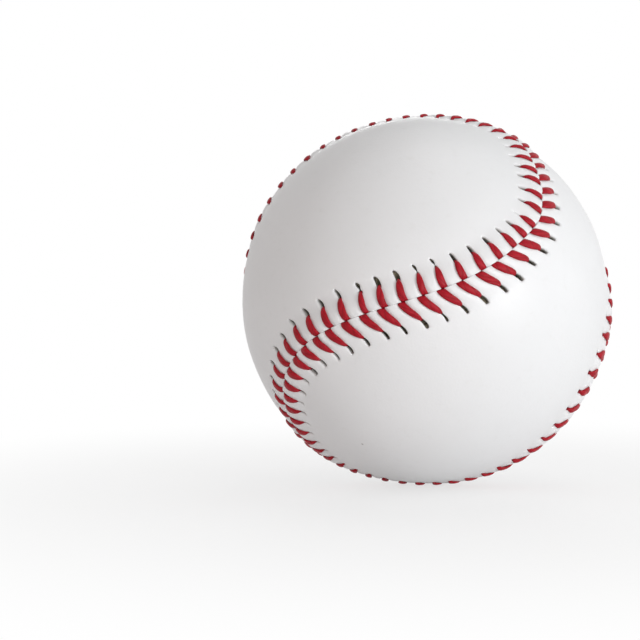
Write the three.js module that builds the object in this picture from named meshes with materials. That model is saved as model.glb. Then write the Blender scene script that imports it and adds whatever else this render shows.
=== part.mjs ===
// Soft practice ball: a moulded sponge core inside two figure-eight cover panels, sewn edge to edge
// with one red thread in a double herringbone stitch.
//
// Millimetres, +Z up. The origin is the ball's centre, and the middle of the seam's front crossing
// faces -Y.

import * as THREE from 'three';

// The ball and its seam line
const ballDiameter = 72.8; // over the plain cover, between the seams
const seamWaist = 32; // over the ball from seam to seam, at the narrow of a panel
const crossingLean = 13.6; // degrees that the seam leans over where its two bends meet
const waistTilt = 59.6; // degrees from upright to the right panel's waist, as the ball lies

// The cover panels
const coverThickness = 1.4;
const lipSetback = 1.1; // from the middle of the seam to the crest of the raised lip
const lipHeight = 0.4; // of the crest, where a stitch holds it down
const pillowHeight = 0.3; // that the lip swells further between two stitches
const holeSetback = 3.9; // from the middle of the seam to the near end of a needle hole
const holeLength = 1.7; // across the seam

// The stitching
const stitchCount = 108; // double stitches round the whole seam
const threadWidth = 1.35;
const threadThickness = 0.5;
const holeLag = 2.2; // that the right panel's holes lie behind the left panel's, along the seam
const tailLength = 2.6; // of each thread end, tucked under the cover

// Clearances
const threadClearance = 0.17; // round the thread
const coverClearance = 0.4; // from the core to the cover
const grooveMargin = 0.6; // from the holes' far ends to the side of the core's groove

// How finely the plain surfaces are divided
const domeColumns = 40; // round a panel, a multiple of eight
const domeShares = [0.35, 0.7, 1]; // of the way from the seam band in to the panel's spine

const outerRadius = ballDiameter / 2;
const innerRadius = outerRadius - coverThickness;
const coreRadius = innerRadius - coverClearance;
const runRadius = innerRadius - threadClearance - threadThickness / 2;
const bightRadius = runRadius - threadThickness - threadClearance;
const grooveRadius = bightRadius - threadThickness / 2 - threadClearance;

const edgeSetback = threadThickness / 2 + threadClearance;
const bandWidth = holeSetback + holeLength;
const grooveHalf = bandWidth + grooveMargin;
const passSetback = holeSetback + threadClearance + threadThickness / 2;
const slotHalf = threadWidth / 2 + threadClearance;
const passHalf = (threadWidth + threadClearance) / 2; // the two threads of a stitch pass side by side

const leather = new THREE.MeshStandardMaterial({ color: '#eceef0', roughness: 0.45, metalness: 0 });
const waxedThread = new THREE.MeshStandardMaterial({ color: '#b3152b', roughness: 0.6, metalness: 0 });
const sponge = new THREE.MeshStandardMaterial({ color: '#cfc3a6', roughness: 0.95, metalness: 0 });

// The seam line, on the ball's plain surface. Its direction from the centre is
// (cos t + k cos 3t, sin t - k sin 3t, c sin 2t), where k and c give it the waist and the lean above.
class SeamLine extends THREE.Curve {
  constructor() {
    super();
    this.arcLengthDivisions = 2000;
    const waistSlope = Math.tan(seamWaist / ballDiameter);
    const leanSlope = Math.tan(THREE.MathUtils.degToRad(crossingLean));
    this.rise = 2 / (3 * waistSlope + 2 * leanSlope);
    this.swing = 1 - this.rise * waistSlope;
  }

  getPoint(turn, target = new THREE.Vector3()) {
    const t = 2 * Math.PI * turn;
    const x = Math.cos(t) + this.swing * Math.cos(3 * t);
    const y = Math.sin(t) - this.swing * Math.sin(3 * t);
    return target.set(x, y, this.rise * Math.sin(2 * t)).setLength(outerRadius);
  }
}

const seam = new SeamLine();
const seamLength = seam.getLength();
const pitch = seamLength / stitchCount;

// The two sides of the seam. sign is the side as seen when moving along the seam, lobe is where the
// seam rounds the end of the panel's lobe, and hole and dive are where each stitch has its hole and
// goes down between the panels, measured along the seam from the stitch's own place.
const rightSide = { sign: 1, lobe: (3 / 8) * seamLength, hole: -holeLag, dive: passHalf };
const leftSide = { sign: -1, lobe: (1 / 8) * seamLength, hole: 0, dive: -passHalf };

// A stitch's own place along the seam. The seam starts halfway between two stitches.
function stitchPlace(stitch) {
  return (stitch + 0.5) * pitch;
}

// The directions at a place along the seam: out from the ball, along the seam, and across it to the
// right panel.
function seamAxes(place) {
  const turn = THREE.MathUtils.euclideanModulo(place / seamLength, 1);
  const out = seam.getPointAt(turn).normalize();
  const along = seam.getTangentAt(turn);
  along.addScaledVector(out, -along.dot(out)).normalize();
  const across = new THREE.Vector3().crossVectors(out, along);
  return { out, along, across };
}

// A point of the seam's cross-section at a distance over the ball from the middle of the seam and at
// a radius: x across the seam, y outwards.
function sectionPoint(distance, radius) {
  const angle = distance / outerRadius;
  return new THREE.Vector2(radius * Math.sin(angle), radius * Math.cos(angle));
}

// Stands a cross-section point up at a place along the seam, moved along the seam by shift.
function standUp(place, section, shift = 0) {
  const { out, along, across } = seamAxes(place);
  return new THREE.Vector3()
    .addScaledVector(across, section.x)
    .addScaledVector(out, section.y)
    .addScaledVector(along, shift);
}

// A closed surface built ring by ring. A ring is a list of corners { index, at }, where at is the
// corner's place round the seam.
class Skin {
  constructor() {
    this.positions = [];
    this.triangles = [];
  }

  corner(point, at) {
    this.positions.push(point.x, point.y, point.z);
    return { index: this.positions.length / 3 - 1, at };
  }

  triangle(a, b, c, turned) {
    if (turned) this.triangles.push(a.index, c.index, b.index);
    else this.triangles.push(a.index, b.index, c.index);
  }

  quad(a, b, c, d, turned) {
    this.triangle(a, b, c, turned);
    this.triangle(a, c, d, turned);
  }

  // Fills the band between ring a and ring b, which lies to its left, whatever their numbers of
  // corners are. It starts from the corner of b that is nearest to a's first, and each step takes
  // the next corner of the ring that is behind.
  fill(a, b, turned) {
    const round = THREE.MathUtils.euclideanModulo;
    const start = a[0].at;
    const offset = (corner) => round(corner.at - start + seamLength / 2, seamLength) - seamLength / 2;
    const distances = b.map((corner) => Math.abs(offset(corner)));
    const first = distances.indexOf(Math.min(...distances));
    const cornerA = (i) => a[i % a.length];
    const cornerB = (j) => b[(first + j) % b.length];
    const laps = (count, ring) => seamLength * Math.floor(count / ring.length);
    const placeA = (i) => round(cornerA(i).at - start, seamLength) + laps(i, a);
    const placeB = (j) => offset(b[first]) + round(cornerB(j).at - b[first].at, seamLength) + laps(j, b);
    let i = 0;
    let j = 0;
    while (i < a.length || j < b.length) {
      const behind = placeA(i) + placeA(i + 1) <= placeB(j) + placeB(j + 1);
      if (j === b.length || (i < a.length && behind)) {
        this.triangle(cornerA(i), cornerA(i + 1), cornerB(j), turned);
        i += 1;
      } else {
        this.triangle(cornerA(i), cornerB(j + 1), cornerB(j), turned);
        j += 1;
      }
    }
  }

  geometry() {
    const geometry = new THREE.BufferGeometry();
    geometry.setAttribute('position', new THREE.Float32BufferAttribute(this.positions, 3));
    geometry.setIndex(this.triangles);
    geometry.computeVertexNormals();
    return geometry;
  }
}

// The foot on the panel's spine that a place along the seam looks to. The spine is the arc down the
// middle of the panel, from one lobe through the waist to the other.
function spineFoot(place, side) {
  const waistHalf = seamWaist / ballDiameter;
  const reach = (3 / 4) * Math.PI - waistHalf;
  const angle = reach * Math.cos((2 * Math.PI * (place - side.lobe)) / seamLength);
  const lobeEnd = seamAxes(side.lobe).out;
  const sideways = new THREE.Vector3(lobeEnd.x, lobeEnd.y, 0).normalize();
  const waist = new THREE.Vector3(0, 0, side.sign);
  return sideways.multiplyScalar(Math.sin(angle)).addScaledVector(waist, Math.cos(angle));
}

// A ring of a panel's plain surface, a share of the way from the seam band in to the spine. At the
// spine itself the two halves of the ring share their corners.
function domeRing(skin, side, radius, share) {
  const ring = [];
  for (let column = 0; column < domeColumns; column += 1) {
    const mirrored = domeColumns - column;
    const place = side.lobe + (column / domeColumns) * seamLength;
    if (share === 1 && mirrored < column) {
      ring.push({ index: ring[mirrored].index, at: place });
    } else {
      const band = standUp(place, sectionPoint(side.sign * bandWidth, outerRadius)).normalize();
      const point = band.lerp(spineFoot(place, side), share).setLength(radius);
      ring.push(skin.corner(point, place));
    }
  }
  return ring;
}

// Fills a panel's plain surface from the last ring of the seam band in to the spine.
function fillDome(skin, rim, side, radius, turned) {
  let outer = rim;
  for (const share of domeShares) {
    const inner = domeRing(skin, side, radius, share);
    skin.fill(outer, inner, turned);
    outer = inner;
  }
}

// A row of corners along the seam, two for each stitch, one on either side of its leg. at counts
// from the stitch's own place, so that rows with different offsets still pair up.
function stitchRow(skin, side, offset, distance, radius) {
  const row = [];
  const section = sectionPoint(side.sign * distance, radius);
  for (let stitch = 0; stitch < stitchCount; stitch += 1) {
    for (const shift of [-slotHalf, slotHalf]) {
      const point = standUp(stitchPlace(stitch) + offset, section, shift);
      row.push(skin.corner(point, stitchPlace(stitch) + shift));
    }
  }
  return row;
}

// The crest of the lip: low beside each leg, and swollen halfway to the next one.
function crestRow(skin, side) {
  const held = stitchRow(skin, side, side.dive, lipSetback, outerRadius + lipHeight);
  const swell = sectionPoint(side.sign * lipSetback, outerRadius + lipHeight + pillowHeight);
  const row = [];
  for (let stitch = 0; stitch < stitchCount; stitch += 1) {
    const halfway = stitchPlace(stitch + 0.5);
    row.push(held[2 * stitch], held[2 * stitch + 1]);
    row.push(skin.corner(standUp(halfway + side.dive, swell), halfway));
  }
  return row;
}

// Fills the lands between the needle holes, and leaves the holes open.
function fillLands(skin, near, far, turned) {
  for (let stitch = 0; stitch < stitchCount; stitch += 1) {
    const from = 2 * stitch + 1;
    const to = (from + 1) % near.length;
    skin.quad(near[from], near[to], far[to], far[from], turned);
  }
}

// The four walls of each needle hole.
function wallHoles(skin, nearTop, farTop, nearLow, farLow, turned) {
  for (let hole = 0; hole < stitchCount; hole += 1) {
    const one = 2 * hole;
    const two = one + 1;
    const top = [nearTop[one], nearTop[two], farTop[two], farTop[one]];
    const low = [nearLow[one], nearLow[two], farLow[two], farLow[one]];
    for (let wall = 0; wall < 4; wall += 1) {
      const next = (wall + 1) % 4;
      skin.quad(top[wall], top[next], low[next], low[wall], turned);
    }
  }
}

// The same corners, with their true places along the seam.
function atHoles(row, side) {
  return row.map((corner) => ({ index: corner.index, at: corner.at + side.hole }));
}

// A cover panel: the edge at the gap, the raised lip, the row of needle holes and the plain
// figure-eight inside them.
function coverPanel(side) {
  const skin = new Skin();
  const outwards = side.sign < 0;
  const inwards = !outwards;

  const edge = stitchRow(skin, side, side.dive, edgeSetback, innerRadius);
  const crest = crestRow(skin, side);
  const nearTop = stitchRow(skin, side, side.hole, holeSetback, outerRadius);
  const farTop = stitchRow(skin, side, side.hole, bandWidth, outerRadius);
  const nearLow = stitchRow(skin, side, side.hole, holeSetback, innerRadius);
  const farLow = stitchRow(skin, side, side.hole, bandWidth, innerRadius);

  skin.fill(edge, crest, outwards);
  skin.fill(crest, nearTop, outwards);
  fillLands(skin, nearTop, farTop, outwards);
  fillDome(skin, atHoles(farTop, side), side, outerRadius, outwards);

  skin.fill(edge, nearLow, inwards);
  fillLands(skin, nearLow, farLow, inwards);
  fillDome(skin, atHoles(farLow, side), side, innerRadius, inwards);

  wallHoles(skin, nearTop, farTop, nearLow, farLow, outwards);
  return skin.geometry();
}

// A ring of the core at a distance from the seam, with the columns of the cover's plain surface.
function coreRing(skin, distance, radius) {
  const ring = [];
  for (let column = 0; column < domeColumns; column += 1) {
    const place = (column / domeColumns) * seamLength;
    ring.push(skin.corner(standUp(place, sectionPoint(distance, radius)), place));
  }
  return ring;
}

// The core: a ball that fills the cover, with a groove along the seam for the thread beneath it.
function spongeCore() {
  const skin = new Skin();
  const rings = [
    coreRing(skin, -grooveHalf, coreRadius),
    coreRing(skin, -grooveHalf, grooveRadius),
    coreRing(skin, grooveHalf, grooveRadius),
    coreRing(skin, grooveHalf, coreRadius),
  ];
  for (let k = 1; k < rings.length; k += 1) skin.fill(rings[k - 1], rings[k], false);
  fillDome(skin, rings.at(-1), rightSide, coreRadius, false);
  fillDome(skin, rings[0], leftSide, coreRadius, true);
  return skin.geometry();
}

// Where two lines of the cross-section cross, each given by a point and a direction.
function crossing(point, direction, otherPoint, otherDirection) {
  const between = otherPoint.clone().sub(point);
  const share = between.cross(otherDirection) / direction.cross(otherDirection);
  return point.clone().addScaledVector(direction, share);
}

// The corners of a stitch in the cross-section, on the side where x is positive: at the foot and the
// head of the hole, on the lip, and at the foot of the gap. The thread lies off the panel's faces
// by half its thickness and the clearance.
function stitchSection() {
  const lift = threadThickness / 2 + threadClearance;
  const crest = sectionPoint(lipSetback, outerRadius + lipHeight);
  const holeEdge = sectionPoint(holeSetback, outerRadius);
  const panelEdge = sectionPoint(edgeSetback, innerRadius);
  const overLip = crest.clone().sub(holeEdge).normalize();
  const downGap = panelEdge.clone().sub(crest).normalize();
  const outOf = (along) => new THREE.Vector2(along.y, -along.x);
  const offFace = (point, along) => point.clone().addScaledVector(outOf(along), lift);
  const legPoint = offFace(holeEdge, overLip);
  const divePoint = offFace(crest, downGap);
  const passFoot = sectionPoint(passSetback, runRadius);
  const level = new THREE.Vector2(1, 0);
  return {
    foot: passFoot,
    bight: sectionPoint(passSetback, bightRadius),
    head: crossing(legPoint, overLip, passFoot, passFoot.clone().normalize()),
    lip: crossing(legPoint, overLip, divePoint, downGap),
    root: crossing(divePoint, downGap, new THREE.Vector2(0, runRadius), level),
  };
}

// The way of one needle round the ball. Each stitch comes up through a hole, crosses the lip, goes
// down between the panels and runs on under the other panel to that panel's next hole. The end is
// tucked under the cover.
function needleWay(firstSide, secondSide) {
  const section = stitchSection();
  const way = [];
  for (let stitch = 0; stitch < stitchCount; stitch += 1) {
    const side = stitch % 2 === 0 ? firstSide : secondSide;
    const facing = (corner) => new THREE.Vector2(side.sign * corner.x, corner.y);
    const hole = stitchPlace(stitch) + side.hole;
    const dive = stitchPlace(stitch) + side.dive;
    way.push({ place: hole, section: facing(stitch === 0 ? section.bight : section.foot) });
    way.push({ place: hole, section: facing(section.head) });
    way.push({ place: dive, section: facing(section.lip) });
    way.push({ place: dive, section: facing(section.root) });
  }
  const lastSide = stitchCount % 2 === 0 ? secondSide : firstSide;
  const lastDive = stitchPlace(stitchCount - 1) + lastSide.dive;
  const tail = sectionPoint(-lastSide.sign * tailLength, runRadius);
  way.push({ place: lastDive + tailLength / 2, section: tail });
  return way;
}

// The thread is one length with a needle at each end. Its middle lies under the first stitch. Each
// corner of its way has a mitred section, as wide along the seam as the thread.
function stitchingThread() {
  const middle = { place: stitchPlace(0) - holeLag / 2, section: sectionPoint(0, bightRadius) };
  const way = [...needleWay(leftSide, rightSide).reverse(), middle, ...needleWay(rightSide, leftSide)];
  const heading = (from, to) => to.section.clone().sub(from.section).normalize();
  const skin = new Skin();
  const rings = way.map((corner, k) => {
    const before = k > 0 ? heading(way[k - 1], corner) : heading(corner, way[k + 1]);
    const after = k < way.length - 1 ? heading(corner, way[k + 1]) : before;
    const mitre = new THREE.Vector2(-before.y - after.y, before.x + after.x);
    mitre.multiplyScalar(threadThickness / 2 / (1 + before.dot(after)));
    const upper = corner.section.clone().add(mitre);
    const lower = corner.section.clone().sub(mitre);
    return [
      skin.corner(standUp(corner.place, upper, -threadWidth / 2)),
      skin.corner(standUp(corner.place, upper, threadWidth / 2)),
      skin.corner(standUp(corner.place, lower, threadWidth / 2)),
      skin.corner(standUp(corner.place, lower, -threadWidth / 2)),
    ];
  });
  for (let k = 1; k < rings.length; k += 1) {
    for (let face = 0; face < 4; face += 1) {
      const next = (face + 1) % 4;
      skin.quad(rings[k - 1][face], rings[k - 1][next], rings[k][next], rings[k][face]);
    }
  }
  skin.quad(...rings[0], true);
  skin.quad(...rings.at(-1), false);
  return skin.geometry();
}

function named(name, geometry, material) {
  const mesh = new THREE.Mesh(geometry, material);
  mesh.name = name;
  return mesh;
}

const ball = new THREE.Group();
ball.name = 'soft_practice_ball';
ball.add(named('sponge_core', spongeCore(), sponge));
ball.add(named('right_cover_panel', coverPanel(rightSide), leather));
ball.add(named('left_cover_panel', coverPanel(leftSide), leather));
ball.add(named('stitching_thread', stitchingThread(), waxedThread));
ball.rotation.y = THREE.MathUtils.degToRad(waistTilt);

export default ball;
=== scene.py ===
"""Soft practice ball: a sponge core in two figure-eight leather panels, sewn edge to edge with one
red thread.

Metres, in the part's own frame: the origin is the ball's centre, -Y faces the middle of the seam's
front crossing and +Z is up. Each piece is a surface in the seam's own coordinates: place along the
seam, distance over the ball across it (towards the right panel) and height over the plain cover.
"""

import math

import bpy
import numpy as np
from mathutils import Matrix, Vector


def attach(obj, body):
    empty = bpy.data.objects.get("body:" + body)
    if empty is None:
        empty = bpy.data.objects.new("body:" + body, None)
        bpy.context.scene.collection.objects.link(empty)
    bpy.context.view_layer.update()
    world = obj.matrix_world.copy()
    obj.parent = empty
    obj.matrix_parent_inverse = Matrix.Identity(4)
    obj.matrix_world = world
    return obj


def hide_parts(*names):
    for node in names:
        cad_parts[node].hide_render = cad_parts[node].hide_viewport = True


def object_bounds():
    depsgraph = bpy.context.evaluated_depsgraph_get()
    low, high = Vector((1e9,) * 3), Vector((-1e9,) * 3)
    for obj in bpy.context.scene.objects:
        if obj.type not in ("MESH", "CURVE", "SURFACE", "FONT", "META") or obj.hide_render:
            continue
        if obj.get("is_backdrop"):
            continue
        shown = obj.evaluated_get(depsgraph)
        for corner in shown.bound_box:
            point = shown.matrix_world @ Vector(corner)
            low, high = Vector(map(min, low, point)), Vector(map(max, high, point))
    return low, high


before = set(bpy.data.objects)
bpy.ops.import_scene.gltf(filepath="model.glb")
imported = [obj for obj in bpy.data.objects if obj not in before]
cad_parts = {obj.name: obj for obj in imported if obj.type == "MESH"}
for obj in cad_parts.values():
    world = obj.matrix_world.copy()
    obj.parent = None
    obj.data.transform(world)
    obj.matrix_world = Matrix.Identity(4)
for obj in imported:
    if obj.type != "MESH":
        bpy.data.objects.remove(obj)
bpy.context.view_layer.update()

mm = 0.001

# The ball and its seam line
ball_radius = 36.4 * mm  # of the plain cover, between the seams
seam_waist = 32 * mm  # over the ball from seam to seam, at the narrow of a panel
crossing_lean = math.radians(13.6)  # of the seam where its two bends meet
waist_tilt = math.radians(59.6)  # from upright to the right panel's waist, as the ball lies

# The cover panels
cover_thickness = 1.4 * mm
unevenness = 0.06 * mm  # the most that the plain cover rises or dips
held_height = 0.68 * mm  # of the lip under a stitch
held_dip = 0.34 * mm  # how much lower it is at the gap
pillow_height = 0.92 * mm  # of the lip halfway between two stitches
pillow_dip = 0.16 * mm
dip_reach = 1.1 * mm  # over the ball from the seam, for both dips
lip_round = 0.12 * mm  # radius of a pillow where it turns down into the gap
held_round = 0.33 * mm  # the same radius under a stitch
lip_flank = 5.9 * mm  # from the seam to where the lip has run out into the plain cover
held_share = 0.34  # of a leg's width, to either side of its line, that holds the lip down
gap_closed = 0.004 * mm  # from the seam to the edge of a pillow
gap_open = 0.27 * mm  # from the seam to the edge under a stitch
gap_slope = 0.2 * mm  # along the seam, from the side of a leg to where the gap is closed
pillow_slope = 0.95 * mm  # along the seam, from the side of a leg up to the pillow's crown
band_width = 6.6 * mm  # from the seam to the edge of the finely divided band

# The needle slots
slot_near = 3.4 * mm  # from the seam to a slot's near end
slot_far = 5.85 * mm
slot_least = 0.04 * mm  # half the width at a slot's two ends
rim_drop = 0.14 * mm  # how far the leather turns down at a slot's rim
rim_reach = 0.13 * mm
pull_drop = 0.06 * mm  # how far the thread's pull lowers it round a slot
pull_reach = 0.8 * mm
pinch_middle = 0.45  # share of a slot's length at which a pinched one is drawn in most
pinch_reach = 0.16
shift_whole = 3 * mm  # from the seam to where a slot's own shift is whole
shift_past = 0.8 * mm  # from a slot's far end on, to where its shift has run out
shift_beside = 1.6 * mm  # along the seam from a leg's line, to where it has run out

# The stitching
stitch_count = 108
leg_stations = np.array([0, 2.1, 4.2, 5.85]) * mm  # distances where a leg's line is known
leg_follows = 0.6  # share of its slot's shift that a leg's far end takes on
thread_thickness = 0.52 * mm
run_depth = 0.4 * mm  # of the thread's hidden runs beneath the cover
tuck_depth = 0.7 * mm  # how much deeper its middle lies, under the first stitch

# The core
core_radius = 34.9 * mm
groove_radius = 33.7 * mm  # where the thread presses the sponge down
groove_half = 4.6 * mm
groove_slope = 1 * mm  # over the ball, from the groove's floor up to the plain sponge
core_band = 1.2 * mm  # from the side of the groove's floor to the edge of the rows along it

# Where the sewing strays
stitches = np.arange(stitch_count)
skewed = np.interp(stitches, [14, 40, 82, 89], [1, 0, 0, 1])  # share of a side's skew that a leg has
strays = (  # each bump's middle and reach, in stitches, and its height
    (11, 2.6, -1.3 * mm), (67.8, 2.3, -1.1 * mm), (71.9, 1.4, 0.65 * mm), (93.5, 4.5, 1.9 * mm))

# How much one stitch differs from the next
leg_wander = 0.07 * mm
slot_wander = 0.13 * mm
slot_width_wander = 0.14
leg_width_wander = 0.07
pillow_wander = 0.09
pinched_share = 0.06  # of all slots
usual_pinch = 0.8
chance = np.random.default_rng(11)


def unit(vectors):
    """Each vector divided by its length."""
    return vectors / np.linalg.norm(vectors, axis=-1, keepdims=True)


def ease(share):
    """0 below 0, 1 above 1, and 3 s^2 - 2 s^3 between them."""
    s = np.clip(share, 0, 1)
    return s * s * (3 - 2 * s)


# The seam line. Its rise and swing give it the waist, and the lean where its bends meet.

waist_slope = math.tan(seam_waist / (2 * ball_radius))
seam_rise = 2 / (3 * waist_slope + 2 * math.tan(crossing_lean))
seam_swing = 1 - seam_rise * waist_slope


def seam_curve(turn):
    """(cos t + k cos 3t, sin t - k sin 3t, c sin 2t) with k the swing and c the rise, and its slope."""
    point = [
        np.cos(turn) + seam_swing * np.cos(3 * turn),
        np.sin(turn) - seam_swing * np.sin(3 * turn),
        seam_rise * np.sin(2 * turn),
    ]
    slope = [
        -np.sin(turn) - 3 * seam_swing * np.sin(3 * turn),
        np.cos(turn) - 3 * seam_swing * np.cos(3 * turn),
        2 * seam_rise * np.cos(2 * turn),
    ]
    return np.stack(point, -1), np.stack(slope, -1)


# Places along the seam are lengths over the ball, added up over many short steps of the curve
short_steps = 20000
turns = np.linspace(0, 2 * math.pi, short_steps + 1)
step_lengths = np.linalg.norm(np.diff(unit(seam_curve(turns)[0]), axis=0), axis=1) * ball_radius
places = np.concatenate([[0], np.cumsum(step_lengths)])
seam_length = places[-1]
pitch = seam_length / stitch_count


def seam_axes(place):
    """The directions out and across at places on the seam: the curve's own direction, and its product
    with the direction along, which is the curve's slope without the part that points out."""
    point, slope = seam_curve(np.interp(np.mod(place, seam_length), places, turns))
    out = unit(point)
    along = unit(slope - np.sum(slope * out, -1, keepdims=True) * out)
    return out, np.cross(out, along)


def drift(place):
    """How far the sewn seam strays from its curve towards the right panel: the sum of its bumps,
    each its height times e to the power of minus the square of the stitches from it over its reach."""
    stitch = np.mod(place, seam_length) / pitch
    return sum(height * np.exp(-(((stitch - middle) / reach) ** 2)) for middle, reach, height in strays)


def on_ball(place, distance, height):
    """From the seam at the place, an arc across it as long as the distance and the seam's drift, then
    out by the height."""
    out, across = seam_axes(place)
    angle = np.asarray((distance + drift(place)) / ball_radius)[..., None]
    radius = np.asarray(ball_radius + height)[..., None]
    return (np.cos(angle) * out + np.sin(angle) * across) * radius


class Side:
    """One side of the seam: its panel's piece, and how its legs and slots lie and differ.

    sign is 1 towards the right panel and -1 towards the left. lobe is the share of the seam's length
    at which it rounds the end of one of the panel's lobes. leg_offsets are the leg's places at its
    stations, in pitches from its stitch's place. slot_powers shape the slot's near and far end: the
    lower, the blunter. ahead and nearer are pairs of rows, stitches and amounts between which the rest
    is even: how many pitches the legs lie ahead of their even places, and how many mm nearer to the
    seam the holes lie. skew is how many pitches more the holes of a wholly skewed leg lie ahead. odd
    gives single stitches their leg's shift in pitches, their slot's shift in mm, how far the slot is
    pinched shut, and its share of the usual width."""

    def __init__(self, piece, sign, lobe, leg_offsets, leg_width, slot_half, slot_powers, ahead,
                 nearer, skew, odd):
        self.piece = piece
        self.sign = sign
        self.lobe = lobe * seam_length
        self.leg_cubic = np.polyfit(leg_stations, np.array(leg_offsets) * pitch, 3)
        self.leg_width = leg_width
        self.slot_half = slot_half
        self.slot_powers = slot_powers
        self.skew = skew * skewed * pitch
        self.leg_shift = chance.normal(0, leg_wander, stitch_count) + np.interp(stitches, *ahead) * pitch
        self.slot_shift = chance.normal(0, slot_wander, stitch_count) - np.interp(stitches, *nearer) * mm
        self.slot_width = 1 + chance.normal(0, slot_width_wander, stitch_count)
        self.leg_swell = 1 + chance.normal(0, leg_width_wander, stitch_count)
        self.pillow = 1 + chance.normal(0, pillow_wander, stitch_count)
        self.pinch = np.where(chance.random(stitch_count) < pinched_share, usual_pinch, 0.0)
        for stitch, (leg_shift, slot_shift, pinch, width) in odd.items():
            self.leg_shift[stitch] += leg_shift * pitch
            self.slot_shift[stitch] += slot_shift * mm
            self.pinch[stitch] = pinch
            self.slot_width[stitch] = width

    def leg_line(self, stitch, distance):
        """The place of a leg's middle line: a cubic in the distance and its skew, which grows evenly,
        and straight across past the stations."""
        reached = np.clip(distance, 0, leg_stations[-1])
        offset = np.polyval(self.leg_cubic, reached) + self.skew[stitch] * reached / leg_stations[-1]
        return (stitch + 0.5) * pitch + self.leg_shift[stitch] + offset


right_side = Side(
    piece="right_leather",
    sign=1,
    lobe=3 / 8,
    leg_offsets=(0.17, -0.135, -0.53, -0.66),
    leg_width=1.66 * mm,
    slot_half=0.37 * mm,
    slot_powers=(0.4, 0.28),
    ahead=([14, 30, 60, 66, 69, 70, 72, 74, 84, 88, 92, 107],
           [-0.23, 0, 0, 0.38, 0.3, 0.2, 0.16, 0, 0, -0.2, -0.3, -0.23]),
    nearer=([63, 68, 73, 76, 85, 89, 93, 98],
            [0, 0.62, 0.65, 0, 0, 0.9, 0.8, 0]),
    skew=0.65,
    odd={79: (0, 0.1, 0.5, 0.6)},
)
left_side = Side(
    piece="left_leather",
    sign=-1,
    lobe=1 / 8,
    leg_offsets=(-0.08, -0.02, -0.05, 0.08),
    leg_width=1.34 * mm,
    slot_half=0.38 * mm,
    slot_powers=(0.35, 0.4),
    ahead=([14, 30, 65, 67, 68, 69, 72, 74, 76, 78, 84, 88, 107],
           [-0.2, 0, -0.1, 0.12, 0.15, 0, 0, -0.2, -0.12, 0, 0, -0.25, -0.2]),
    nearer=([63, 65, 69, 72, 73, 75, 78, 86, 89, 94, 98],
            [0, 1, 1, 0.8, 1.2, 0.85, 0, 0, 0.5, 0.5, 0]),
    skew=0.35,
    odd={72: (0.05, -0.4, 0, 0.15), 78: (0, 0, 0.96, 0.8), 79: (0, -0.1, 0.97, 0.75)},
)


# Meshes

tilt_matrix = np.array(Matrix.Rotation(waist_tilt, 3, "Y"))


def mesh_piece(name, points, faces, numbers=None, uv=None):
    """A mesh object of points in the seam's frame, turned to the way that the ball lies. numbers are
    attributes by name, one number for each point, and uv has one pair for each point."""
    mesh = bpy.data.meshes.new(name)
    mesh.from_pydata((points @ tilt_matrix.T).tolist(), [], faces)
    for label, values in (numbers or {}).items():
        mesh.attributes.new(label, "FLOAT", "POINT").data.foreach_set("value", values)
    if uv is not None:
        corners = np.empty(len(mesh.loops), int)
        mesh.loops.foreach_get("vertex_index", corners)
        mesh.uv_layers.new(name="UVMap").data.foreach_set("uv", uv[corners].ravel())
    mesh.shade_smooth()
    made = bpy.data.objects.new(name, mesh)
    bpy.context.collection.objects.link(made)
    return made


def quads_between(upper, lower):
    """Quads between rows of round grids, given as the indices of their points."""
    return np.stack([upper, np.roll(upper, -1, -1), np.roll(lower, -1, -1), lower], -1)


# The cover panels are grids of rows along the seam and columns across it. Each stitch has a cell of
# columns, which follow its leg's line on either side. column_shares are their shares of the way from
# the side of the line to halfway to the next one.

column_shares = np.array([0, 0.07, 0.17, 0.29, 0.4, 0.52, 0.68, 0.84])
half_cell = len(column_shares)
cell_shares = np.concatenate([[1], column_shares[::-1], column_shares])
cell_signs = np.repeat([-1.0, 1.0], [half_cell + 1, half_cell])
cell_columns = len(cell_shares)
columns = cell_columns * stitch_count
column_stitch = np.repeat(stitches, cell_columns)
column_share = np.tile(cell_shares, stitch_count)
column_sign = np.tile(cell_signs, stitch_count)
slot_column = half_cell  # in a cell, the column on the slot's first side

# Where the rows lie
edge_shares = (0, 0.5)  # of the edge in the gap, from its foot
turn_angles = np.radians([0, 18, 36, 54, 72, 90])  # round the lip's turn
flank_shares = (0.12, 0.26, 0.42, 0.6, 0.8)  # from the lip's crest to the slots
slot_shares = (1 - np.cos(np.linspace(0, math.pi, 10))) / 2  # along a slot, closer at its ends
past_slots = (6.05 * mm, 6.3 * mm, band_width)  # from the seam, as the next ones
beneath_lip = (1.2 * mm, 2.5 * mm)
dome_shares = (0.05, 0.13, 0.24, 0.38, 0.54, 0.71, 0.87)  # from the band to the panel's spine
underside_shares = (0.2, 0.5, 0.8)  # the same way, on the panel's underside
core_shares = (0.12, 0.3, 0.5, 0.7, 0.85)  # and on the core


def undulation(direction):
    """The cover's slow unevenness: the mean of three sine waves over the ball in crossed directions,
    each with its own start."""
    waves = np.array([[61, 23, 37], [-29, 53, 41], [43, -47, 19]]) / 10
    starts = [0.4, 1.9, 3.1]
    return unevenness * np.sin(direction @ waves.T * math.pi + starts).mean(-1)


def pressed(side, x, slope):
    """1 beneath a leg and 0 between two, eased over the slope, for distances x along the seam from
    the leg's line."""
    return 1 - ease((np.abs(x) - held_share * side.leg_width) / slope)


def lip_shape(height, dip, distance):
    """A lip of that height: it runs out into the plain cover along an eased flank, and dips towards
    the gap as e to the power of minus the square of the distance over the dip's reach."""
    flank = 1 - ease((distance - lip_round) / (lip_flank - lip_round))
    return height * flank - dip * np.exp(-((distance / dip_reach) ** 2))


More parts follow.
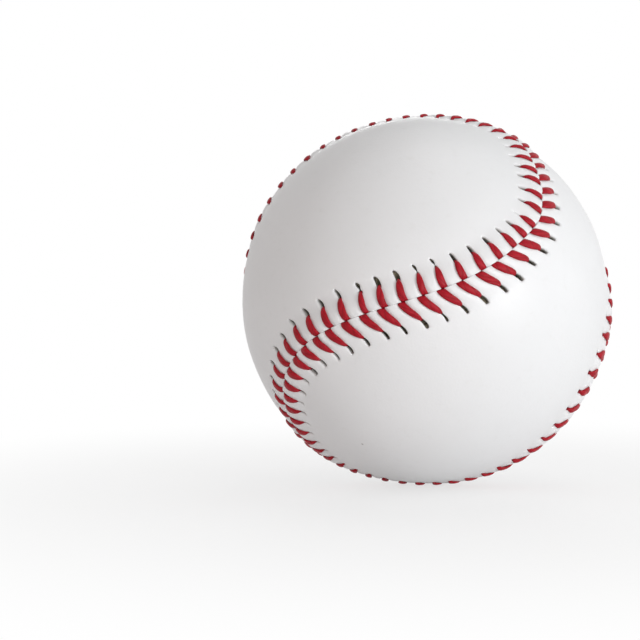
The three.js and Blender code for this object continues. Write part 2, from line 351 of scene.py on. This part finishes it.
def lip_top(side, x, distance):
    """The lip's height: between a pillow's and a held lip's by how far the leg presses it down."""
    swollen = side.pillow[(column_stitch + (column_sign > 0)) % stitch_count]
    pillow = lip_shape(pillow_height * swollen, pillow_dip, distance)
    held = lip_shape(held_height, held_dip, distance)
    return pillow + (held - pillow) * pressed(side, x, pillow_slope)


def slot_opening(side, distance):
    """Half the width between the columns on either side of a leg's line: the least width, and in the
    needle slot a power of the share from its near end times a power of the share from its far end,
    over their greatest product. A pinched slot is drawn in round its pinch's middle, as e to the
    power of minus a square."""
    share = np.clip((distance - slot_near) / (slot_far - slot_near), 0, 1)
    near, far = side.slot_powers
    peak = near / (near + far)
    bow = (share / peak) ** near * ((1 - share) / (1 - peak)) ** far
    drawn_in = 1 - side.pinch * np.exp(-(((share - pinch_middle) / pinch_reach) ** 2))
    return slot_least + (side.slot_half * side.slot_width * drawn_in * bow)[column_stitch]


def column_offsets(side, distance):
    """Distances of all columns along the seam from their leg's line, at a nominal distance from the
    seam: from the slot's edge to halfway to the next leg on that side."""
    lines = side.leg_line(stitches, distance)
    after = np.mod(np.roll(lines, -1) - lines, seam_length) / 2
    halfway = np.where(column_sign > 0, after[column_stitch], after[column_stitch - 1])
    opening = slot_opening(side, distance)
    return column_sign * (opening + (halfway - opening) * column_share)


def true_distance(side, x, distance):
    """The nominal distance moved by the stitch's own slot shift, which is eased off away from the
    leg's line, for distances x from it, and away from the slot."""
    near_slot = ease(distance / shift_whole) * (1 - ease((distance - slot_far) / shift_past))
    return distance + side.slot_shift[column_stitch] * (1 - ease(np.abs(x) / shift_beside)) * near_slot


def panel_row(side, x, distance, height, nominal):
    """A row of a panel's points: each column at its offset x from the leg's line at the nominal
    distance."""
    points = on_ball(side.leg_line(column_stitch, nominal) + x, side.sign * distance, height)
    return points + unit(points) * undulation(unit(points))[..., None]


def outer_rows(side):
    """The outside of the band, row by row: up the edge in the gap, round the lip's turn, over its
    flank, past the needle slots and out to the plain cover. Round a slot the leather sinks by a rim
    that fades as e to the power of minus the way from its edge, and by the thread's pull."""
    rows = []
    x = column_offsets(side, 0.0)
    press = pressed(side, x, gap_slope)
    gap = gap_closed + (gap_open - gap_closed) * press
    turn = lip_round + (held_round - lip_round) * press
    crest = gap + turn
    top = lip_top(side, x, crest)
    for share in edge_shares:
        height = -cover_thickness + share * (top - turn + cover_thickness)
        rows.append(panel_row(side, x, gap, height, 0.0))
    for angle in turn_angles:
        distance = gap + turn * (1 - math.cos(angle))
        height = top - turn * (1 - math.sin(angle))
        rows.append(panel_row(side, x, distance, height, distance))
    for share in flank_shares:
        distance = true_distance(side, x, crest + (slot_near - crest) * share)
        rows.append(panel_row(side, x, distance, lip_top(side, x, distance), distance))
    first_slot_row = len(rows)
    for share in slot_shares:
        nominal = slot_near + (slot_far - slot_near) * share
        x = column_offsets(side, nominal)
        distance = true_distance(side, x, nominal)
        rim = np.exp(-(np.abs(x) - slot_opening(side, nominal)) / rim_reach)
        pull = np.exp(-((x / pull_reach) ** 2)) * math.sin(math.pi * share)
        height = lip_top(side, x, distance) - rim_drop * rim - pull_drop * pull
        rows.append(panel_row(side, x, distance, height, distance))
    for nominal in past_slots:
        x = column_offsets(side, nominal)
        distance = true_distance(side, x, nominal)
        rows.append(panel_row(side, x, distance, lip_top(side, x, distance), distance))
    return rows, first_slot_row


def inner_rows(side):
    """The underside of the band, from beside the gap to the band's edge, level beneath the cover."""
    rows = []
    for nominal in (*beneath_lip, *(slot_near + (slot_far - slot_near) * slot_shares)):
        x = column_offsets(side, nominal)
        rows.append(panel_row(side, x, true_distance(side, x, nominal), -cover_thickness, nominal))
    x = column_offsets(side, band_width)
    rows.append(panel_row(side, x, band_width, -cover_thickness, band_width))
    return rows, len(beneath_lip)


def mirrored(side, count):
    """For each of count columns, the one that mirrors it about the panel's lobe."""
    lobe_columns = round(2 * side.lobe / seam_length * count)
    return (lobe_columns - np.arange(count)) % count


def spine_feet(side, count):
    """The points of the panel's spine that its columns look to: along the arc down the middle of the
    panel, at an angle from its waist that swings as the cosine of the place round the seam. The spine
    stops an eighth of a turn short of the lobe's end, which lies half a waist from the far pole."""
    reach = 3 / 4 * math.pi - seam_waist / (2 * ball_radius)
    from_lobe = np.arange(count) / count - side.lobe / seam_length
    angle = (reach * np.cos(2 * math.pi * from_lobe))[:, None]
    lobe_end = seam_axes(np.array(side.lobe))[0]
    sideways = unit(lobe_end * [1, 1, 0])
    return np.sin(angle) * sideways + np.cos(angle) * np.array([0, 0, side.sign])


def dome(side, rim, radius, shares):
    """Rows of a dome from its rim in to the spine, each a share of the straight way between the
    directions of the two, laid on the ball, and last the spine's own points."""
    rim_direction = unit(rim)
    feet = spine_feet(side, len(rim))
    directions = [unit(rim_direction * (1 - share) + feet * share) for share in (*shares, 1)]
    return [direction * (radius + undulation(direction))[:, None] for direction in directions]


def closed(side, first, count):
    """The indices of a spine's points, from first on: columns that mirror one another share one. Also
    says which columns bring a point."""
    mirror = mirrored(side, count)
    kept = np.arange(count) <= mirror
    rank = np.cumsum(kept) - 1
    return first + np.where(kept, rank, rank[mirror]), kept


def whole_faces(quads):
    """Faces as lists, where a quad whose two corners on the spine are one becomes a triangle."""
    low_pair = quads[:, 2] == quads[:, 3]
    high_pair = quads[:, 0] == quads[:, 1]
    faces = quads[~low_pair & ~high_pair].tolist()
    return faces + quads[low_pair][:, :3].tolist() + quads[high_pair][:, 1:].tolist()


def cover_panel(side):
    """A closed panel: the outside of the band and its dome, the same beneath, and the walls of the
    needle slots. The two halves of each dome meet on the spine in shared points. Its attribute is 1 on
    the underside and 0 outside, and runs between them down the slot walls, which the finish greys with
    it as painted shade."""
    outer, outer_slot = outer_rows(side)
    inner, inner_slot = inner_rows(side)
    outer += dome(side, outer[-1], ball_radius, dome_shares)
    inner += dome(side, inner[-1], ball_radius - cover_thickness, underside_shares)
    rows = outer[:-1] + inner[:-1]
    index = np.arange(len(rows) * columns).reshape(-1, columns)
    outer_spine, kept = closed(side, index.size, columns)
    inner_spine = outer_spine + kept.sum()
    points = np.concatenate([*rows, outer[-1][kept], inner[-1][kept]])
    outer_index = [*index[: len(outer) - 1], outer_spine]
    inner_index = [index[0], *index[len(outer) - 1 :], inner_spine]
    inner_slot += 1  # past the edge's foot, which the underside starts from

    at_slot = np.arange(columns) % cell_columns == slot_column
    slot_steps = len(slot_shares) - 1
    quads = []
    for skin, slot_row, order in ((outer_index, outer_slot, 1), (inner_index, inner_slot, -1)):
        for k in range(len(skin) - 1):
            shut = ~at_slot | (not slot_row <= k < slot_row + slot_steps)
            quads.append(quads_between(*skin[k : k + 2][::order])[shut])

    one = np.flatnonzero(at_slot)
    two = one + 1
    above = outer_index[outer_slot : outer_slot + slot_steps + 1]
    below = inner_index[inner_slot : inner_slot + slot_steps + 1]
    for k in range(slot_steps):
        quads.append(np.stack([above[k + 1][one], above[k][one], below[k][one], below[k + 1][one]], -1))
        quads.append(np.stack([above[k][two], above[k + 1][two], below[k + 1][two], below[k][two]], -1))
    for k, left, right in ((0, one, two), (slot_steps, two, one)):
        quads.append(np.stack([above[k][left], above[k][right], below[k][right], below[k][left]], -1))
    quads = np.concatenate(quads)[:, :: side.sign]

    back_and_slot_shade = np.zeros(len(points))
    back_and_slot_shade[index[len(outer) - 1 :].ravel()] = 1
    back_and_slot_shade[index.size + kept.sum() :] = 1
    return mesh_piece(side.piece, points, whole_faces(quads), {"back_and_slot_shade": back_and_slot_shade})


# The thread


def leg_corners(side, stitch):
    """The corners that the thread turns at for each stitch on one side, as arrays of stitches by
    corners: place, distance, height, width and thickness. It comes up through the hole, lies along
    its leg, turns over the lip, goes down the gap and runs on beneath the other panel."""
    distance = np.array([4.05, 4.02, 3.74, 3.25, 2.45, 1.6, 0.8, 0.2, 0.14, 0.135, -0.1, -2.3]) * mm
    width_share = np.array([0.4, 0.4, 0.46, 0.78, 1.0, 1.03, 1.0, 0.95, 0.82, 0.6, 0.5, 0.6])
    thickness = np.array([0.5, 0.5, 0.52, 0.52, 0.52, 0.52, 0.52, 0.46, 0.26, 0.26, 0.5, 0.5]) * mm
    # In the gap, how far along the seam the thread keeps from the other side's
    apart = np.array([0, 0, 0, 0, 0, 0, 0, 0, 0.1, 0.2, 0.25, 0]) * mm

    under = -cover_thickness - run_depth
    in_hole = -0.6 * mm
    sunk = 0.22 * mm  # into the hole's rim
    lying = lip_shape(held_height, held_dip, distance) + thread_thickness / 2
    crest = lip_shape(held_height, held_dip, gap_open + held_round)
    turn = crest - held_round + (held_round + thickness[7] / 2) * math.sqrt(0.5)
    in_gap = (0.2 * mm, -0.8 * mm)
    height = np.array([under, in_hole, lying[2] - sunk, *lying[3:7], turn, *in_gap, under, under])

    follows = leg_follows * ease(distance / shift_whole)
    distances = distance + side.slot_shift[stitch][:, None] * follows
    place = side.leg_line(stitch[:, None], distances) + side.sign * apart
    width = width_share * side.leg_width * side.leg_swell[stitch][:, None]
    return np.stack(np.broadcast_arrays(place, side.sign * distances, height, width, thickness), -1)


def needle_way(first, second):
    """The way of one needle right round the ball: legs on the two sides in turn."""
    even = (stitches % 2 == 0)[:, None, None]
    return np.where(even, leg_corners(first, stitches), leg_corners(second, stitches)).reshape(-1, 5)


def stitching_thread():
    """One thread with a needle at each end: its middle under the first stitch, and both ways round
    the ball. The corners are joined by straight runs, smoothed by averaging neighbours, and given a
    flattened section as wide along the seam as the thread. The hidden runs keep a third of their
    sections. The attribute depth is in mm below the plain cover, and the UV map has the length in mm
    and the share of the way over the thread."""
    back, forth = needle_way(left_side, right_side)[::-1], needle_way(right_side, left_side)
    middle = (back[-1:] + forth[:1]) / 2
    middle[:, 2] -= tuck_depth
    way = np.concatenate([back, middle, forth])
    per_run = 4
    corners = np.arange(len(way))
    steps = np.arange((len(way) - 1) * per_run + 1) / per_run
    path = np.stack([np.interp(steps, corners, column) for column in way.T], -1)
    kernel = np.array([1, 4, 6, 4, 1]) / 16
    extended = np.concatenate([path[:1], path[:1], path, path[-1:], path[-1:]])
    path = np.stack([np.convolve(column, kernel, "valid") for column in extended.T], -1)
    place, distance, height, width, thickness = path.T

    tiny = 1e-12  # so that a standstill has a heading
    heading = unit(np.gradient(np.stack([distance, height], -1), axis=0) + tiny)
    hidden_below = -0.9 * mm
    kept = (height > hidden_below) | (np.arange(len(height)) % 3 == 0)
    place, distance, height, width, thickness, heading = (
        values[kept] for values in (place, distance, height, width, thickness, heading))
    sides = 10
    angle = 2 * math.pi * (np.arange(sides) + 0.5) / sides
    x = width[:, None] / 2 * np.cos(angle)
    y = thickness[:, None] / 2 * np.sin(angle)
    points = on_ball(
        place[:, None] + x,
        distance[:, None] - heading[:, 1:] * y,
        height[:, None] + heading[:, :1] * y,
    )
    ring = np.arange(points.shape[0] * sides).reshape(-1, sides)
    quads = quads_between(ring[:-1], ring[1:])
    faces = quads.reshape(-1, 4)[:, ::-1].tolist() + [ring[0].tolist(), ring[-1][::-1].tolist()]

    middles = points.mean(axis=1)
    run = np.concatenate([[0], np.cumsum(np.linalg.norm(np.diff(middles, axis=0), axis=1))])
    over = 1 - np.abs(1 - angle / math.pi)
    uv = np.stack(np.broadcast_arrays(run[:, None] / mm, over), -1).reshape(-1, 2)
    depth = np.repeat(-height / mm, sides)
    return mesh_piece("herringbone_thread", points.reshape(-1, 3), faces, {"depth": depth}, uv)


# The core


def sponge_core():
    """A ball with a shallow groove along the seam: rows across the seam from one side of the groove to
    the other, and a dome on either side, closed on its spine."""
    count = 4 * stitch_count
    edge = groove_half + core_band
    place = np.arange(count) / count * seam_length
    band = []
    for distance in np.linspace(-edge, edge, 21):
        into = 1 - ease((abs(distance) - groove_half) / groove_slope)
        radius = core_radius + (groove_radius - core_radius) * into
        band.append(on_ball(place, distance, radius - ball_radius))
    right = dome(right_side, band[-1], core_radius, core_shares)
    left = dome(left_side, band[0], core_radius, core_shares)
    rows = left[-2::-1] + band + right[:-1]
    index = np.arange(len(rows) * count).reshape(-1, count)
    left_spine, left_kept = closed(left_side, index.size, count)
    right_spine, right_kept = closed(right_side, index.size + left_kept.sum(), count)
    points = np.concatenate([*rows, left[-1][left_kept], right[-1][right_kept]])
    all_rows = [left_spine, *index, right_spine]
    quads = [quads_between(upper, lower) for upper, lower in zip(all_rows, all_rows[1:])]
    return mesh_piece("foam_core", points, whole_faces(np.concatenate(quads)))


# Finishes


class Reading:
    """A value that changes over a surface. Sums, differences and products of readings add their Math
    nodes."""

    def __init__(self, nodes, socket):
        self.nodes = nodes
        self.socket = socket

    def __add__(self, other):
        return self.nodes.maths("ADD", self, other)

    def __radd__(self, other):
        return self.nodes.maths("ADD", other, self)

    def __sub__(self, other):
        return self.nodes.maths("SUBTRACT", self, other)

    def __rsub__(self, other):
        return self.nodes.maths("SUBTRACT", other, self)

    def __mul__(self, other):
        return self.nodes.maths("MULTIPLY", self, other)

    def __rmul__(self, other):
        return self.nodes.maths("MULTIPLY", other, self)


class Nodes:
    """The nodes of one tree."""

    def __init__(self, tree):
        self.tree = tree

    def node(self, kind, settings, inputs, output=0):
        """Adds a node, with its settings first, then the values or links of its sockets, and returns
        one of its outputs as a reading."""
        made = self.tree.nodes.new(kind)
        for name, value in settings.items():
            setattr(made, name, value)
        for socket, value in inputs.items():
            self.fill(made.inputs[socket], value)
        return Reading(self, made.outputs[output])

    def fill(self, socket, value):
        """Sets a socket to a plain value, or links a reading to it."""
        if isinstance(value, Reading):
            self.tree.links.new(value.socket, socket)
        else:
            socket.default_value = value

    def maths(self, operation, *values):
        """One Math node on plain numbers and readings."""
        return self.node("ShaderNodeMath", {"operation": operation}, dict(enumerate(values)))

    def between(self, low, high, value):
        """0 where the value is below low, 1 where it is above high, eased between them."""
        settings = {"interpolation_type": "SMOOTHSTEP", "clamp": True}
        inputs = {"Value": value, "From Min": low, "From Max": high}
        return self.node("ShaderNodeMapRange", settings, inputs)

    def rays(self, *kinds):
        """1 for rays of any of the kinds, and 0 for the others."""
        found = 0.0
        for kind in kinds:
            found = self.maths("MAXIMUM", found, self.node("ShaderNodeLightPath", {}, {}, kind))
        return found


class Finish(Nodes):
    """The nodes of one material."""

    def __init__(self, name):
        self.material = bpy.data.materials.new(name)
        self.material.use_nodes = True
        super().__init__(self.material.node_tree)
        self.shader = self.tree.nodes["Principled BSDF"]

    def shade(self, name, value):
        """Sets or links one of the shader's sockets."""
        self.fill(self.shader.inputs[name], value)

    def place(self):
        """The place in the ball's frame, in metres."""
        return self.node("ShaderNodeTexCoord", {}, {}, "Object")

    def attribute(self, name):
        """The number that each point of the piece has by that name."""
        return self.node("ShaderNodeAttribute", {"attribute_name": name}, {}, "Fac")

    def noise(self, place, scale, detail=2.0, roughness=0.5):
        """Soft noise about one half, with as many waves to the metre as the scale."""
        inputs = {"Vector": place, "Scale": scale, "Detail": detail, "Roughness": roughness}
        return self.node("ShaderNodeTexNoise", {}, inputs)

    def cells(self, place, scale, feature):
        """The distance to the nearest of a field of scattered points."""
        inputs = {"Vector": place, "Scale": scale}
        return self.node("ShaderNodeTexVoronoi", {"feature": feature}, inputs, "Distance")

    def mix(self, share, one, other):
        """The one colour where the share is 0 and the other where it is 1."""
        settings = {"data_type": "RGBA"}
        return self.node("ShaderNodeMix", settings, {0: share, 6: one, 7: other}, 2)

    def bump(self, height, distance):
        """Tilts the surface as if it rose by the height times the distance."""
        inputs = {"Height": height, "Distance": distance, "Strength": 1.0}
        self.shade("Normal", self.node("ShaderNodeBump", {}, inputs))


def leather_finish():
    """Smooth white synthetic leather with a faint pebble grain, slightly uneven in tone, with one grey
    fleck, duller and greyer on its back, and greyed down the needle slots' walls as painted shade."""
    white, brightest = (0.80, 0.805, 0.81, 1), (0.85, 0.85, 0.855, 1)
    dull, back_grey_and_slot_shade = (0.74, 0.735, 0.72, 1), (0.62, 0.61, 0.58, 1)
    fleck_grey = (0.3, 0.27, 0.26, 1)
    fleck_place = Vector((-8.36, -23.53, -26.55)) * mm
    fleck_core, fleck_edge = 0.12 * mm, 0.34 * mm  # from its middle

    finish = Finish("cover_leather")
    place = finish.place()
    slow = finish.noise(place, 55.0, 3.0)
    mottle = finish.noise(place, 620.0, 4.0, 0.6)
    fine = finish.noise(place, 6500.0)
    pebble = finish.cells(place, 2300.0, "SMOOTH_F1")
    from_fleck = finish.node(
        "ShaderNodeVectorMath", {"operation": "DISTANCE"}, {0: place, 1: fleck_place}, 1)
    fleck = 1 - finish.between(fleck_core, fleck_edge, from_fleck)
    # Painted shade: the back's grey darkens each needle slot's walls from a little below their rim down
    back_and_slot_shade = finish.between(0.06, 0.3, finish.attribute("back_and_slot_shade"))
    colour = finish.mix(slow, white, brightest)
    colour = finish.mix(finish.between(0.55, 0.8, mottle) * 0.25, colour, dull)
    colour = finish.mix(fleck * 0.7, colour, fleck_grey)
    finish.shade("Base Color", finish.mix(back_and_slot_shade, colour, back_grey_and_slot_shade))
    finish.shade("Roughness", 0.36 + 0.16 * mottle + 0.3 * back_and_slot_shade)
    finish.bump(pebble * 0.5 + fine * 0.25 + mottle * 0.9, 0.03 * mm)
    return finish.material


def thread_finish():
    """Red waxed thread: plies that wind round it as the sine of its length and of the way over it,
    fine fibres along it, and painted shade: a deeper red between the plies and where it goes down."""
    red, brightest = (0.37, 0.003, 0.012, 1), (0.44, 0.006, 0.019, 1)
    fibre_red, ply_groove_shade_red = (0.22, 0.002, 0.008, 1), (0.17, 0.002, 0.006, 1)
    sunk_shade_red = (0.1, 0.005, 0.01, 1)
    wind_along, wind_over = 0.42, 1.7  # plies for each mm of length, and in the way over the thread

    finish = Finish("waxed_thread")
    uv = finish.node("ShaderNodeUVMap", {"uv_map": "UVMap"}, {})
    run, over = (finish.node("ShaderNodeSeparateXYZ", {}, {0: uv}, part) for part in (0, 1))
    ply = finish.maths("ABSOLUTE", finish.maths("SINE", (run * wind_along + over * wind_over) * math.pi))
    lengthwise = finish.node("ShaderNodeCombineXYZ", {}, {0: run * 0.5, 1: over * 8.0})
    fibre = finish.noise(lengthwise, 1.0, 3.0, 0.6)
    tone = finish.noise(finish.place(), 900.0)
    # Painted shade: the thread turns deep red where it goes down below the plain cover into the slots
    # and the gap
    low = finish.between(-0.2, 0.7, finish.attribute("depth"))
    colour = finish.mix(finish.between(0.3, 0.7, tone), red, brightest)
    colour = finish.mix(finish.between(0.38, 0.62, fibre) * 0.35, colour, fibre_red)
    # Painted shade in the grooves between the plies
    colour = finish.mix(0.5 - 0.5 * finish.between(0.0, 0.5, ply), colour, ply_groove_shade_red)
    finish.shade("Base Color", finish.mix(low, colour, sunk_shade_red))
    finish.shade("Roughness", 0.36 + 0.25 * fibre)
    finish.shade("Specular IOR Level", 0.22)
    finish.bump(ply * 0.8 + fibre * 0.4, 0.09 * mm)
    return finish.material


def sponge_finish():
    """Beige sponge with small pores, darkened as painted shade."""
    beige, lightest, pore_shade_brown = (0.56, 0.49, 0.34, 1), (0.64, 0.57, 0.42, 1), (0.2, 0.16, 0.1, 1)

    finish = Finish("sponge")
    place = finish.place()
    wall = finish.between(0.05, 0.4, finish.cells(place, 900.0, "F1"))
    tone = finish.noise(place, 120.0, 3.0)
    # The pores' brown is painted shade in their hollows
    finish.shade("Base Color", finish.mix(wall, pore_shade_brown, finish.mix(tone, beige, lightest)))
    finish.shade("Roughness", 0.95 - 0.1 * wall)
    finish.bump(wall, 0.3 * mm)
    return finish.material


# The ball put together

leather = leather_finish()
for side, node in ((right_side, "right_cover_panel"), (left_side, "left_cover_panel")):
    panel = cover_panel(side)
    panel.data.materials.append(leather)
    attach(panel, "root")
    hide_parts(node)

thread = stitching_thread()
thread.data.materials.append(thread_finish())
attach(thread, "root")
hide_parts("stitching_thread")

core = sponge_core()
core.data.materials.append(sponge_finish())
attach(core, "root")
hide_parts("sponge_core")


# The studio


def studio_floor():
    """A wide white floor at the ball's lowest point. To the camera and in reflections it shines white
    by a share, which is lower near the ball, where it keeps the ball's shadow, and whole further off,
    where it runs into the white background."""
    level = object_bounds()[0].z
    half = 4.0
    share_near = 0.66
    shadow_near, shadow_far = 0.03, 0.15  # from the ball's centre, between which the share grows

    corners = [(-half, -half, level), (half, -half, level), (half, half, level), (-half, half, level)]
    mesh = bpy.data.meshes.new("studio_floor")
    mesh.from_pydata(corners, [], [(0, 1, 2, 3)])
    floor = bpy.data.objects.new("studio_floor", mesh)
    bpy.context.collection.objects.link(floor)
    finish = Finish("studio_floor")
    finish.shade("Base Color", (0.9, 0.9, 0.9, 1))
    finish.shade("Roughness", 0.8)
    white = finish.node("ShaderNodeEmission", {}, {"Color": (1, 1, 1, 1), "Strength": 1.0})
    away = finish.node("ShaderNodeVectorMath", {"operation": "LENGTH"}, {0: finish.place()}, 1)
    whiteness = share_near + (1 - share_near) * finish.between(shadow_near, shadow_far, away)
    share = finish.rays("Is Camera Ray", "Is Glossy Ray") * whiteness
    lit = Reading(finish, finish.shader.outputs[0])
    mixed = finish.node("ShaderNodeMixShader", {}, {0: share, 1: lit, 2: white})
    finish.fill(finish.tree.nodes["Material Output"].inputs["Surface"], mixed)
    mesh.materials.append(finish.material)
    floor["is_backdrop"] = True


def studio_world(strength):
    """White to the camera and in reflections, and a soft even light of the given strength."""
    world = bpy.data.worlds.new("studio")
    world.use_nodes = True
    bpy.context.scene.world = world
    nodes = Nodes(world.node_tree)
    seen = nodes.rays("Is Camera Ray", "Is Glossy Ray", "Is Transmission Ray")
    background = nodes.tree.nodes["Background"]
    nodes.fill(background.inputs["Color"], (1, 1, 1, 1))
    nodes.fill(background.inputs["Strength"], strength + (1 - strength) * seen)


def softbox(name, place, size, power, colour=(1, 1, 1)):
    """A square area light at a place, which faces the ball's centre."""
    light = bpy.data.lights.new(name, "AREA")
    light.shape = "SQUARE"
    light.size = size
    light.energy = power
    light.color = colour
    lamp = bpy.data.objects.new(name, light)
    lamp.location = place
    lamp.rotation_mode = "QUATERNION"
    lamp.rotation_quaternion = (-Vector(place)).to_track_quat("-Z", "Y")
    bpy.context.collection.objects.link(lamp)


def photo_camera():
    """The camera of the picture: just above level, a little to the right of the front crossing, with
    its place, aim, roll and lens fitted to the stitches."""
    place = Vector((42.93, -297.61, 5.97)) * mm
    aim = Vector((-20.37, -4.54, -3.81)) * mm
    roll = math.radians(-0.4)
    data = bpy.data.cameras.new("photo_camera")
    data.sensor_width = 36
    data.lens = 83.94
    data.clip_start = 0.01
    camera = bpy.data.objects.new("photo_camera", data)
    turn = (aim - place).to_track_quat("-Z", "Y").to_matrix() @ Matrix.Rotation(roll, 3, "Z")
    camera.matrix_world = Matrix.Translation(place) @ turn.to_4x4()
    bpy.context.collection.objects.link(camera)
    bpy.context.scene.camera = camera


studio_floor()
studio_world(0.36)
softbox("key_softbox", (0.75, -0.5, 0.07), 0.2, 3.15, (0.975, 0.985, 1.0))
softbox("side_softbox", (0.8, 0.15, 0.15), 0.3, 0.4)
softbox("front_softbox", (0.35, -0.85, 0.07), 0.2, 1.5)
softbox("top_softbox", (0.1, 0.2, 0.9), 0.5, 1.1)
softbox("warm_fill", (-0.5, -0.6, 0.06), 0.16, 0.35, (1.0, 0.6, 0.47))
softbox("back_softbox", (-0.15, 0.9, 0.2), 0.3, 1.6)
photo_camera()

bpy.context.scene.view_settings.view_transform = "Standard"
